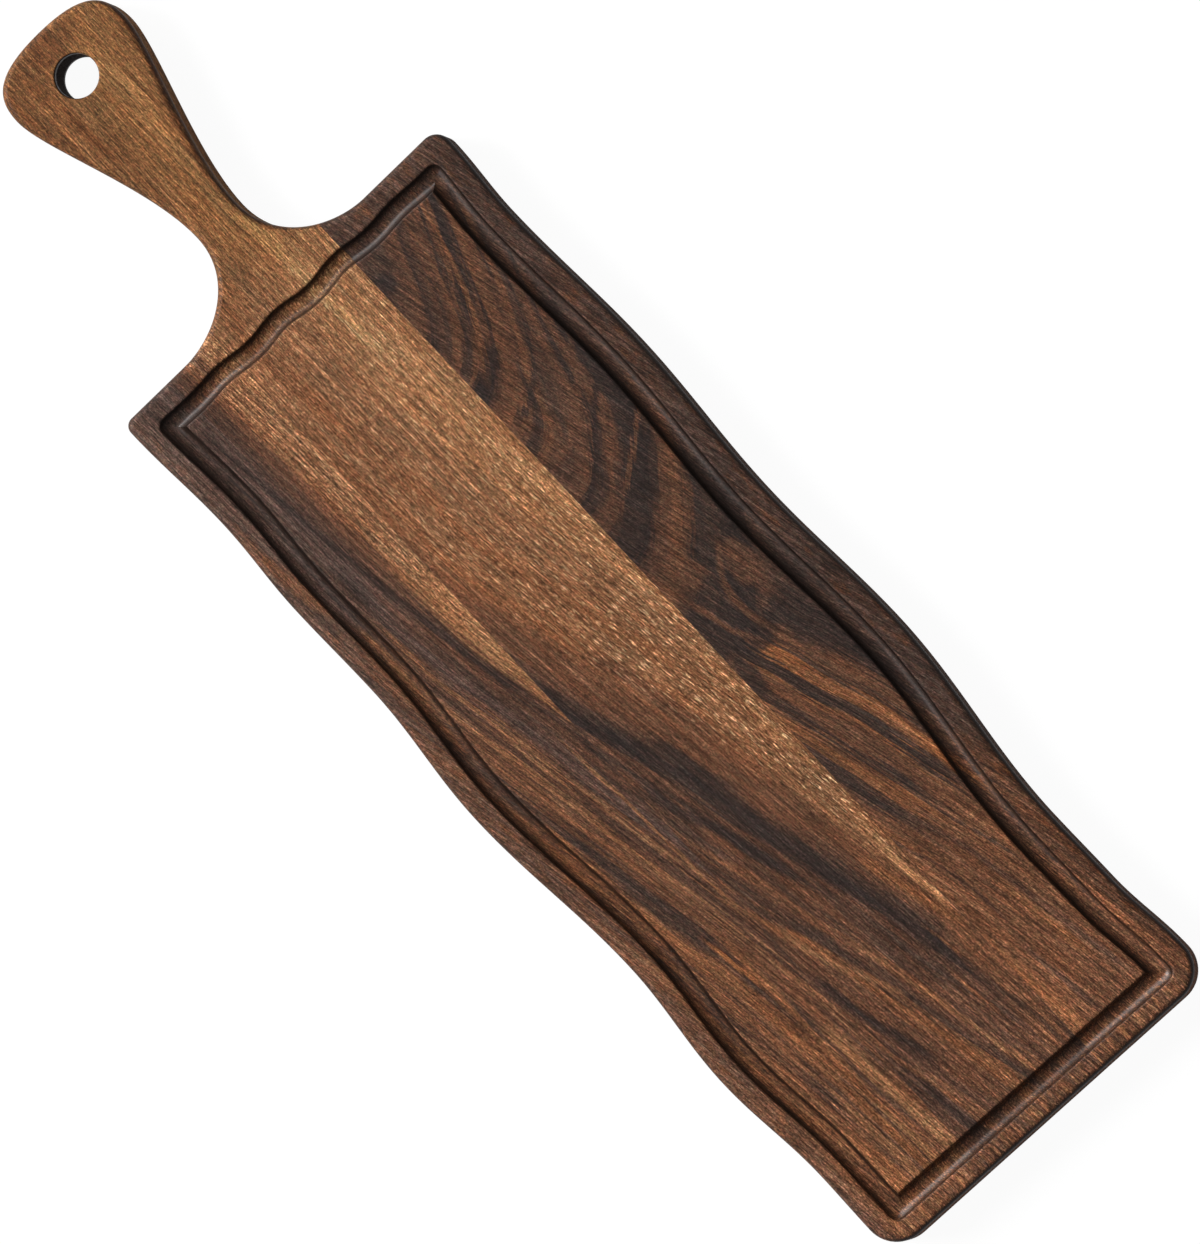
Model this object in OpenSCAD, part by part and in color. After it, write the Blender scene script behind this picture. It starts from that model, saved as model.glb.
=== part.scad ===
// Paddle serving board: three edge-glued staves cut to one live-edge outline, with the
// handle running out of the middle stave, a hang hole, and a juice groove all round.
// X runs across the board, Y along it towards the handle, Z up; the underside is at Z = 0
// and the origin is at the middle of the board's length and width.

/* [Staves] */
// Length of the body, from the far end to the shoulders
body_length = 388.5; // [300:0.5:460]
// Width of the left stave, from its highest crest to the joint
left_stave_w = 46.8; // [40:0.2:70]
// Width of the middle stave, which carries the handle
handle_stave_w = 52.4; // [46:0.2:66]
// Width of the right stave, from its highest crest to the joint
right_stave_w = 52.8; // [46:0.2:76]
// Thickness of the staves
thickness = 16; // [12:0.5:24]
// Radius of the round-over along the upper and the lower edge
edge_round = 2.5; // [1:0.25:3]
// Thickness of the adhesive film in each edge-glued joint
glue_film = 0.1; // [0.06:0.02:0.3]

/* [Live edges] */
// Depth of the deepest hollow in the left edge
left_wave = 5; // [0:0.25:8]
// Depth of the deepest hollow in the right edge
right_wave = 8.3; // [0:0.1:10]
// Fall of the far end from its left corner to its right corner
end_fall = 3; // [0:0.25:6]
// Height of the left shoulder above the right shoulder
shoulder_step = 1.4; // [0:0.1:4]
// Radius of the two corners at the far end
end_corner_r = 12; // [6:0.5:18]
// Radius of the corner at the left shoulder
left_shoulder_r = 3.5; // [3.25:0.25:10]
// Radius of the corner at the right shoulder
right_shoulder_r = 7; // [3.25:0.25:10]

/* [Handle] */
// Length of the handle, from the shoulders to its tip
handle_length = 119.5; // [100:0.5:160]
// Wood trimmed off each side of the middle stave at the widest part of the handle
handle_trim = 0.2; // [0.2:0.1:6]
// Distance of the widest part of the handle from its tip
flare_drop = 17; // [13:0.5:26]
// Width of the neck at its narrowest
neck_w = 18.1; // [14:0.1:26]
// Height of the narrowest part of the neck above the shoulders
neck_rise = 29.5; // [22:0.5:40]
// How far the neck stands to the right of the middle of the stave
neck_lean = 1.7; // [0:0.1:4]
// Half of the width over which the shoulders sweep up into the neck
shoulder_reach = 41.7; // [34:0.1:48]
// Diameter of the hang hole
hole_d = 15.5; // [8:0.5:20]
// Distance of the centre of the hang hole from the tip of the handle
hole_from_tip = 20.5; // [18:0.5:30]
// Width of the eased rim of the hang hole
hole_ease = 0.6; // [0.2:0.1:1.5]

/* [Juice groove] */
// Width of the groove at the surface
groove_width = 7.5; // [5:0.25:10]
// Depth of the groove
groove_depth = 3; // [1.5:0.25:4]
// Distance from a live edge or the shoulders to the outer lip of the groove
groove_inset = 8; // [5:0.25:10]
// Distance from the far end to the outer lip of the groove
groove_end_inset = 6.5; // [5:0.25:10]
// Height of the ripple in the run of the groove below the handle
ripple_height = 0.8; // [0:0.1:1.5]
// Length of one ripple
ripple_pitch = 28.5; // [20:0.5:40]

/* [Hidden] */

// Overall sizes and the two joint planes
board_length = body_length + handle_length;
board_width = left_stave_w + handle_stave_w + right_stave_w;
far_y = -board_length / 2;
tip_y = board_length / 2;
shoulder_y = far_y + body_length;
left_x = -board_width / 2;
right_x = board_width / 2;
left_joint_x = left_x + left_stave_w;
right_joint_x = right_x - right_stave_w;

// The live edges: [share of the edge's run from the far end, share of its wave's depth]
// at each crest and hollow
left_edge_shares = [[0, 0.77], [0.064, 0.81], [0.19, 0.18], [0.322, 0.89], [0.52, 0],
    [0.67, 0.78], [0.775, 0.65], [0.877, 1], [1, 0.61]];
right_edge_shares = [[0, 0.675], [0.093, 0.97], [0.169, 1], [0.4, 0.12], [0.564, 0.41],
    [0.748, 0], [0.917, 0.27], [1, 0.11]];

// Reach of the curves' control points, as shares of the stretch that they belong to
flank_neck_share = 0.33;
flank_flare_share = 0.18;
end_side_share = 0.6;
end_crown_share = 0.84;
sweep_neck_share = 0.69;
sweep_shoulder_share = 0.4;

// How far a crest of the groove's ripple stands left of the middle of the stave, as a
// share of one ripple
ripple_share = 0.2;

// Number of steps along each kind of curve
side_steps = 48;
corner_steps = 7;
curve_steps = 12;
round_steps = 4;
cove_steps = 10;
turn_steps = 5;
ripple_steps = 10;
spare_steps = 2;

// Places on the handle
stave_mid_x = (left_joint_x + right_joint_x) / 2;
flare_half = handle_stave_w / 2 - handle_trim;
flare_y = tip_y - flare_drop;
neck_y = shoulder_y + neck_rise;
hole_y = tip_y - hole_from_tip;
lean_slope = neck_lean / (flare_y - neck_y);
function handle_axis_x(y) = stave_mid_x + lean_slope * (flare_y - y);
neck_x = handle_axis_x(neck_y);

// Shoulders and corner centres of the body
left_shoulder_y = shoulder_y + shoulder_step / 2;
right_shoulder_y = shoulder_y - shoulder_step / 2;
left_run = [far_y + end_fall + end_corner_r, left_shoulder_y - left_shoulder_r];
right_run = [far_y + end_corner_r, right_shoulder_y - right_shoulder_r];

// A value that passes from a to b along half a wave
function eased(a, b, t) = a + (b - a) * (1 - cos(180 * t)) / 2;

// Depth share of a live edge at a share s of its run
function wave(shares, s) = let (
        hits = [for (i = [1:len(shares) - 1]) if (s <= shares[i][0]) i],
        i = len(hits) > 0 ? hits[0] : len(shares) - 1,
        a = shares[i - 1],
        b = shares[i]
    ) eased(a[1], b[1], max(0, min(1, (s - a[0]) / (b[0] - a[0]))));

function run_share(run, y) = (y - run[0]) / (run[1] - run[0]);
function left_edge_x(y) = left_x + left_wave * wave(left_edge_shares, run_share(left_run, y));
function right_edge_x(y) = right_x - right_wave * wave(right_edge_shares, run_share(right_run, y));

function arc(centre, r, from, to) =
    [for (i = [0:corner_steps]) let (a = from + (to - from) * i / corner_steps)
        centre + r * [cos(a), sin(a)]];
function bezier(a, b, c, d) =
    [for (i = [0:curve_steps]) let (t = i / curve_steps, s = 1 - t)
        s * s * s * a + 3 * s * s * t * b + 3 * s * t * t * c + t * t * t * d];
function reversed(points) = [for (i = [len(points) - 1:-1:0]) points[i]];
function unit(v) = v / norm(v);
function outward(a, b) = let (d = unit(b - a)) [d[1], -d[0]];

// The far end is the common tangent of its two corner arcs
far_left = [left_edge_x(left_run[0]) + end_corner_r, left_run[0]];
far_right = [right_edge_x(right_run[0]) - end_corner_r, right_run[0]];
far_turn = atan2(far_right[1] - far_left[1], far_right[0] - far_left[0]) - 90;
far_down = [cos(far_turn), sin(far_turn)];
function far_end(x) =
    let (s = (x - far_left[0]) / (far_right[0] - far_left[0]))
    far_left + s * (far_right - far_left) + end_corner_r * far_down;

// One side of the shoulders' sweep, from the shoulder up to the neck; side is -1 or 1
function sweep(side, y) = let (
        foot = [neck_x + side * shoulder_reach, y],
        waist = [neck_x + side * neck_w / 2, neck_y],
        span = abs(foot[0] - waist[0])
    ) bezier(foot, foot - [side * span * sweep_shoulder_share, 0],
        waist - [0, (neck_y - y) * sweep_neck_share], waist);
left_sweep = sweep(-1, left_shoulder_y);
right_sweep = sweep(1, right_shoulder_y);

// One flank and one half of the rounded end of the handle, from the neck up to the tip
function flank(side) = let (
        waist = [neck_x + side * neck_w / 2, neck_y],
        widest = [stave_mid_x + side * flare_half, flare_y],
        rise = flare_y - neck_y
    ) bezier(waist, waist + [0, rise * flank_neck_share],
        widest - [0, rise * flank_flare_share], widest);
function crown(side) = let (
        widest = [stave_mid_x + side * flare_half, flare_y],
        tip = [stave_mid_x, tip_y]
    ) bezier(widest, widest + [0, flare_drop * end_side_share],
        tip + [side * flare_half * end_crown_share, 0], tip);

// Points of a list without its first one and without its last one
function tail(points) = [for (i = [1:len(points) - 1]) points[i]];
function body_of(points) = [for (i = [0:len(points) - 2]) points[i]];

// Outlines, anticlockwise. A side stave's blank runs past its joint to a hub, from which
// its upper and lower faces are fanned, and is cut off at the joint afterwards.
left_hub = [neck_x, 0];
left_outline = concat([left_hub], left_sweep_down(), left_corner(), left_side(),
    arc(far_left, end_corner_r, 180, 360 + far_turn), [far_end(neck_x)]);
function left_sweep_down() = reversed(left_sweep);
function left_corner() =
    arc([left_edge_x(left_run[1]) + left_shoulder_r, left_run[1]], left_shoulder_r, 90, 180);
function left_side() =
    [for (i = [1:side_steps - 1]) let (y = left_run[1] + (left_run[0] - left_run[1]) * i / side_steps)
        [left_edge_x(y), y]];

right_hub = [neck_x, 0];
right_outline = concat([right_hub, far_end(neck_x)],
    arc(far_right, end_corner_r, far_turn, 0), right_side(), right_corner(), right_sweep);
function right_side() =
    [for (i = [1:side_steps - 1]) let (y = right_run[0] + (right_run[1] - right_run[0]) * i / side_steps)
        [right_edge_x(y), y]];
function right_corner() =
    arc([right_edge_x(right_run[1]) - right_shoulder_r, right_run[1]], right_shoulder_r, 0, 90);

// The middle stave's blank has matched points up its right and its left side
handle_right = concat([far_end(neck_x + shoulder_reach)], right_sweep, tail(flank(1)),
    body_of(tail(crown(1))));
handle_left = concat([far_end(neck_x - shoulder_reach)], left_sweep, tail(flank(-1)),
    body_of(tail(crown(-1))));
handle_outline = concat(handle_right, [[stave_mid_x, tip_y]], reversed(handle_left));

// The blank of a glue film: a strip under one side of the shoulders' sweep
function film_outline(side) = side < 0
    ? concat([left_hub], reversed(left_sweep), [far_end(neck_x - shoulder_reach), far_end(neck_x)])
    : concat([right_hub, far_end(neck_x), far_end(neck_x + shoulder_reach)], right_sweep);

// Triangles of a face, as places in its outline: a fan from the first point, or a ladder
// between the matched points of the two sides
function fan(n) = [for (i = [1:n - 2]) [0, i, i + 1]];
function ladder(n) = let (m = (n - 1) / 2)
    concat([for (i = [0:m - 2]) each [[i, i + 1, n - 2 - i], [i, n - 2 - i, n - 1 - i]]],
        [[m - 1, m, m + 1]]);

// Mitre vector at each point of an outline: its length keeps the sides parallel
function mitre(a, b) = (a + b) / (1 + a * b);
function mitres(points) = let (n = len(points))
    [for (i = [0:n - 1]) mitre(outward(points[(i + n - 1) % n], points[i]),
        outward(points[i], points[(i + 1) % n]))];

// A blank with its upper and lower edges rounded over; the first point stays where it is
// when it is a hub
module rounded_blank(points, cap, hub = true) {
    n = len(points);
    out = mitres(points);
    round_turns = [for (i = [0:round_steps]) 90 * i / round_steps];
    levels = concat(
        [for (a = round_turns) [edge_round * (1 - sin(a)), edge_round * (1 - cos(a))]],
        [for (a = round_turns) [edge_round * (1 - cos(a)),
            thickness - edge_round * (1 - sin(a))]]);
    last = len(levels) - 1;
    verts = [for (level = levels) for (i = [0:n - 1])
        let (p = points[i] - (hub && i == 0 ? [0, 0] : level[0] * out[i])) [p[0], p[1], level[1]]];
    walls = [for (k = [0:last - 1]) for (i = [0:n - 1]) let (j = (i + 1) % n, a = k * n, b = a + n)
        each [[a + i, b + i, b + j], [a + i, b + j, a + j]]];
    polyhedron(verts, concat(walls, cap, [for (t = cap) [for (i = [2:-1:0]) last * n + t[i]]]));
}

// The groove is cut by a round-nosed tool whose centre follows a path, so its outer
// corners are round and its inner corners are sharp
cutter_r = (groove_width * groove_width / 4 + groove_depth * groove_depth) / (2 * groove_depth);
cutter_z = thickness - groove_depth + cutter_r;
path_inset = groove_inset + groove_width / 2;
end_path_inset = groove_end_inset + groove_width / 2;

// Corners of the path
function left_path(y) = [left_edge_x(y) + path_inset, y];
function right_path(y) = [right_edge_x(y) - path_inset, y];
upper_left = left_path(left_shoulder_y - path_inset);
upper_right = right_path(right_shoulder_y - path_inset);
lower_left = left_path(far_end(left_x + path_inset)[1] + end_path_inset);
lower_right = right_path(far_end(right_x - path_inset)[1] + end_path_inset);

// The upper run of the path ripples, less and less towards its ends
ripple_count = round((upper_right[0] - upper_left[0]) / ripple_pitch * ripple_steps);
ripple_x = stave_mid_x - ripple_pitch * ripple_share;
function upper_path(i) = let (
        s = i / ripple_count,
        p = upper_right + s * (upper_left - upper_right),
        fade = sin(180 * s)
    ) p + [0, ripple_height * fade * cos(360 * (p[0] - ripple_x) / ripple_pitch)];

// The runs keep their own points clear of the corners, so that the cutter doesn't fold
function clear_of_corners(p) =
    min([for (c = [upper_left, upper_right, lower_left, lower_right]) norm(p - c)]) > groove_width;

// Steps of the upper run that reach from one place to another with some to spare
function upper_run(from, to) =
    [for (i = [0:ripple_count])
        if ((i == 0 || i == ripple_count || clear_of_corners(upper_path(i)))
            && upper_path(min(ripple_count, i + spare_steps))[0] <= from
            && upper_path(max(0, i - spare_steps))[0] >= to) upper_path(i)];
function side_path(a, b, left) =
    [for (i = [1:side_steps - 1]) let (
            y = a[1] + (b[1] - a[1]) * i / side_steps,
            p = left ? left_path(y) : right_path(y)
        ) if (clear_of_corners(p)) p];
function lower_path(x) = let (s = (x - lower_left[0]) / (lower_right[0] - lower_left[0]))
    lower_left + s * (lower_right - lower_left);

// Section of the cutter: [distance outwards from the path, height]
cutter_section = concat(
    [[cutter_r, thickness + cutter_r]],
    [for (i = [0:cove_steps]) let (a = 180 * i / cove_steps)
        [cutter_r * cos(a), cutter_z - cutter_r * sin(a)]],
    [[-cutter_r, thickness + cutter_r]]);

// Stations of the cutter: [place, vector for what lies outwards, vector for what lies
// inwards]; at a corner the outer side swings round while the inner side stays on the mitre
function stations(path, corners) = [for (i = [0:len(path) - 1]) let (
        last = len(path) - 1,
        a = outward(path[max(0, i - 1)], path[i > 0 ? i : 1]),
        b = outward(path[i < last ? i : last - 1], path[min(last, i + 1)]),
        m = mitre(a, b),
        turn = atan2(a[0] * b[1] - a[1] * b[0], a * b)
    ) each [for (k = [0:(search(i, corners) == [] ? 0 : turn_steps)])
        let (c = turn * k / turn_steps)
        search(i, corners) == []
            ? [path[i], m, m]
            : [path[i], [a[0] * cos(c) - a[1] * sin(c), a[0] * sin(c) + a[1] * cos(c)], m]]];

module groove_cutter(path, corners = []) {
    rings = stations(path, corners);
    m = len(cutter_section);
    verts = [for (ring = rings) for (s = cutter_section)
        let (p = ring[0] + s[0] * (s[0] > 0 ? ring[1] : ring[2])) [p[0], p[1], s[1]]];
    walls = [for (k = [0:len(rings) - 2]) for (i = [0:m - 1])
        let (j = (i + 1) % m, a = k * m, b = a + m)
        each [[a + i, b + i, b + j], [a + i, b + j, a + j]]];
    last = (len(rings) - 1) * m;
    ends = [for (i = [1:m - 2]) each [[0, i, i + 1], [last, last + i + 1, last + i]]];
    solid_walls = [for (t = walls) if (verts[t[0]] != verts[t[1]] && verts[t[1]] != verts[t[2]]
        && verts[t[2]] != verts[t[0]]) t];
    polyhedron(verts, concat(solid_walls, ends));
}

// Room between two planes across the board
module between(from, to) {
    translate([from, -board_length, -thickness])
        cube([to - from, 2 * board_length, 3 * thickness]);
}

module hang_hole() {
    r = hole_d / 2;
    translate([handle_axis_x(hole_y), hole_y, 0]) {
        translate([0, 0, -thickness]) cylinder(r = r, h = 3 * thickness, $fn = 96);
        for (z = [0, thickness])
            translate([0, 0, z - hole_ease])
                cylinder(r1 = z > 0 ? r : r + 2 * hole_ease, r2 = z > 0 ? r + 2 * hole_ease : r,
                    h = 2 * hole_ease, $fn = 96);
    }
}

module left_stave() {
    color("#4a3329") difference() {
        intersection() {
            rounded_blank(left_outline, fan(len(left_outline)));
            between(-board_width, left_joint_x - glue_film / 2);
        }
        upper = upper_run(left_joint_x, upper_left[0]);
        lower = side_path(upper_left, lower_left, true);
        path = concat(upper, lower, [lower_left, lower_path(left_joint_x + groove_width)]);
        groove_cutter(path, [len(upper) - 1, len(upper) + len(lower)]);
    }
}

module handle_stave() {
    color("#8a6543") difference() {
        intersection() {
            rounded_blank(handle_outline, ladder(len(handle_outline)), false);
            between(left_joint_x + glue_film / 2, right_joint_x - glue_film / 2);
        }
        groove_cutter(upper_run(right_joint_x, left_joint_x));
        groove_cutter([lower_path(left_joint_x - groove_width), lower_path(right_joint_x + groove_width)]);
        hang_hole();
    }
}

module right_stave() {
    color("#513728") difference() {
        intersection() {
            rounded_blank(right_outline, fan(len(right_outline)));
            between(right_joint_x + glue_film / 2, board_width);
        }
        upper = upper_run(upper_right[0], right_joint_x);
        lower = side_path(lower_right, upper_right, false);
        path = concat([lower_path(right_joint_x - groove_width), lower_right], lower, upper);
        groove_cutter(path, [1, len(lower) + 2]);
    }
}

// The film of adhesive that fills the joint at one seam, flush with the staves
module glue_line(x, side) {
    color("#2e2018") difference() {
        intersection() {
            rounded_blank(film_outline(side), fan(len(film_outline(side))));
            between(x - glue_film / 2, x + glue_film / 2);
        }
        groove_cutter(upper_run(x, x));
        groove_cutter([lower_path(x - groove_width), lower_path(x + groove_width)]);
    }
}

module glue_line_left() { glue_line(left_joint_x, -1); }
module glue_line_right() { glue_line(right_joint_x, 1); }

left_stave();
handle_stave();
right_stave();
glue_line_left();
glue_line_right();
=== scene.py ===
"""Paddle serving board of three edge-glued walnut staves with a juice groove and a hang hole."""

from math import asin, atan2, cos, pi, radians, sin

import bmesh
import bpy
from bpy.props import FloatProperty, FloatVectorProperty, PointerProperty
from mathutils import Matrix, Vector
from mathutils.geometry import interpolate_bezier


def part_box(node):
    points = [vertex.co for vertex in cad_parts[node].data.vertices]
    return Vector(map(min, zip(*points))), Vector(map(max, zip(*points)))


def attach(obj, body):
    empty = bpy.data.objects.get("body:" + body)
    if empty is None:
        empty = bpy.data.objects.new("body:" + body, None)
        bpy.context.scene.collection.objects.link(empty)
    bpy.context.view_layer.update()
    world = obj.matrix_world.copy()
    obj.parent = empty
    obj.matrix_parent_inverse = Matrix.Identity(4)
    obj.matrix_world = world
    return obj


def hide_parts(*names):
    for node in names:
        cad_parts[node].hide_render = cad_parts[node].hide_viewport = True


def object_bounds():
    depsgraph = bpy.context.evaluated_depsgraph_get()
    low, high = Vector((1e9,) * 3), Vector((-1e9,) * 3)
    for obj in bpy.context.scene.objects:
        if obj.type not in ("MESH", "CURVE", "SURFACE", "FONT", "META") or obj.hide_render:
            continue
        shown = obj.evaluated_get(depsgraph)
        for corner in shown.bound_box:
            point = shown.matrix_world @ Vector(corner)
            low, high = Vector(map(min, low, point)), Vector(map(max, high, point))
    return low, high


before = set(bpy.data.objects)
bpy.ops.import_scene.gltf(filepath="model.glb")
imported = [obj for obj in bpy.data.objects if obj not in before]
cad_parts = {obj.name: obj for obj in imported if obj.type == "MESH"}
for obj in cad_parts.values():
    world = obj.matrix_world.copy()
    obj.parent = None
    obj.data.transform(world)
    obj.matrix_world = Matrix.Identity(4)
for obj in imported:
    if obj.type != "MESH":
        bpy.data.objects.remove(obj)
cad_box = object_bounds()

bl_info = {
    "name": "Paddle Serving Board",
    "version": (1, 0, 0),
    "blender": (4, 5, 0),
    "location": "View3D > Sidebar > Board",
    "description": "Makes the staves, glue lines and finish of a walnut paddle board",
    "category": "Add Mesh",
}

MM = 0.001
LEFT_FILM_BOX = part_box("glue_line_left")
RIGHT_FILM_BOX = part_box("glue_line_right")

# Distances within which two points are the same, and within which a line's points are merged
SAME_PLACE = 0.01 * MM
CROWDED = 0.6 * MM
# Faces in each curve of the mesh
CORNER_STEPS = 14
HANDLE_STEPS = 26
LIP_STEPS = 5
CUTTER_STEPS = 7
GROOVE_CORNER_STEPS = 10
ROUND_STEPS = 7
EASE_STEPS = 4
HOLE_STEPS = 72
# The angle from which an edge is drawn sharp
SHARP = radians(32)

# The live edges: (share of the edge's run from the far end, share of its wave's depth)
LEFT_EDGE = ((0, 0.77), (0.064, 0.81), (0.19, 0.18), (0.322, 0.89), (0.52, 0),
             (0.67, 0.78), (0.775, 0.65), (0.877, 1), (1, 0.61))
RIGHT_EDGE = ((0, 0.675), (0.093, 0.97), (0.169, 1), (0.4, 0.12), (0.564, 0.41),
              (0.748, 0.03), (0.917, 0.3), (1, 0.11))


def shade(red, green, blue):
    """A colour given in 8-bit display values, made linear."""
    levels = [level / 255 for level in (red, green, blue)]
    return [v / 12.92 if v <= 0.04045 else ((v + 0.055) / 1.055) ** 2.4 for v in levels]


def length(name, description, millimetres):
    return FloatProperty(name=name, description=description, default=millimetres * MM,
                         unit="LENGTH", subtype="DISTANCE")


class BoardSizes(bpy.types.PropertyGroup):
    """Sizes of the board that a maker would change."""

    body_length: length("Body length", "From the far end to the shoulders", 388.5)
    edge_round: length("Edge round-over", "Radius along the upper and lower edges", 2.5)
    left_wave: length("Left wave", "Depth of the deepest hollow in the left edge", 5)
    right_wave: length("Right wave", "Depth of the deepest hollow in the right edge", 8.3)
    end_fall: length("End fall", "Fall of the far end from its left to its right corner", 3)
    shoulder_step: length("Shoulder step", "Height of the left shoulder above the right", 1.4)
    end_corner: length("End corner", "Radius of the two corners at the far end", 12)
    left_shoulder: length("Left shoulder", "Radius of the corner at the left shoulder", 3.5)
    right_shoulder: length("Right shoulder", "Radius of the corner at the right shoulder", 6)
    handle_trim: length("Handle trim", "Wood trimmed off each side of the handle", 0.2)
    flare_drop: length("Flare drop", "Distance of the handle's widest part from its tip", 17)
    neck_width: length("Neck width", "Width of the neck at its narrowest", 18.1)
    neck_rise: length("Neck rise", "Height of the neck above the shoulders", 29.5)
    neck_lean: length("Neck lean", "How far the neck stands right of the stave's middle", 1.3)
    shoulder_reach: length("Shoulder reach", "Half of the width of the shoulders' sweep", 42.0)
    hole_width: length("Hole", "Diameter of the hang hole", 15.5)
    hole_drop: length("Hole drop", "Distance of the hang hole's centre from the tip", 20.5)
    hole_ease: length("Hole ease", "Radius of the eased rim of the hang hole", 0.7)
    groove_width: length("Groove width", "Width of the juice groove at the surface", 7.5)
    groove_depth: length("Groove depth", "Depth of the juice groove", 3)
    groove_inset: length("Groove inset", "Distance of the groove from the live edges", 8)
    groove_end: length("Groove end inset", "Distance of the groove from the far end", 7.0)
    lip_round: length("Lip round-over", "Radius of the sanded lips of the groove", 1)
    ripple_height: length("Ripple height", "Ripple of the groove below the handle", 0.8)
    ripple_pitch: length("Ripple pitch", "Length of one ripple", 28.5)


def colour(name, description, red, green, blue):
    return FloatVectorProperty(name=name, description=description, subtype="COLOR", size=3,
                               min=0, max=1, default=shade(red, green, blue))


class BoardColours(bpy.types.PropertyGroup):
    """Colours of the board that a maker would change."""

    ink: colour("Ink", "The blackest streaks of the figure", 43, 34, 32)
    coal: colour("Coal", "Dark streaks of the heartwood", 52, 40, 36)
    umber: colour("Umber", "Dark bands of the heartwood", 64, 48, 41)
    bark: colour("Bark", "Dark brown bands", 76, 54, 44)
    cocoa: colour("Cocoa", "Middle brown bands", 88, 60, 46)
    chestnut: colour("Chestnut", "Red-brown bands", 100, 67, 49)
    rust: colour("Rust", "Orange-brown bands", 112, 74, 52)
    russet: colour("Russet", "Light orange-brown bands", 124, 81, 54)
    ember: colour("Ember", "The brightest orange streaks", 148, 93, 58)
    tan: colour("Tan", "The darker golden wood", 130, 90, 63)
    honey: colour("Honey", "The golden wood", 142, 99, 68)
    gold: colour("Gold", "The lightest golden wood", 155, 111, 77)
    straw: colour("Straw", "The palest streaks of the golden wood", 172, 130, 90)
    mauve: colour("Mauve", "Purple-brown bands", 80, 62, 56)
    plum: colour("Plum", "Light purple-brown bands", 90, 69, 60)
    # Dark of the oiled cut faces, and also the painted shade on the edges, side walls, groove and
    # hang hole
    ash: colour("Ash", "Grey-brown bands of the rim", 97, 76, 66)
    oil_dark_and_shade: colour("Burnished", "Cut faces that took up the most oil", 30, 20, 16)
    film: colour("Glue", "The dried adhesive in the joints", 46, 32, 24)
    floor: colour("Floor", "The studio floor", 242, 242, 242)


def eased(start, end, share):
    """A value that passes from start to end along half a wave."""
    return start + (end - start) * (1 - cos(pi * share)) / 2


def wave(shares, share):
    """Depth share of a live edge at a share of its run."""
    for (s0, d0), (s1, d1) in zip(shares, shares[1:]):
        if share <= s1:
            return eased(d0, d1, max(0, (share - s0) / (s1 - s0)))
    return shares[-1][1]


def arc(centre, radius, start, end):
    """Points of an arc, from one angle to another."""
    turn = (end - start) / CORNER_STEPS
    angles = [start + turn * i for i in range(CORNER_STEPS + 1)]
    return [centre + radius * Vector((cos(a), sin(a))) for a in angles]


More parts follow.
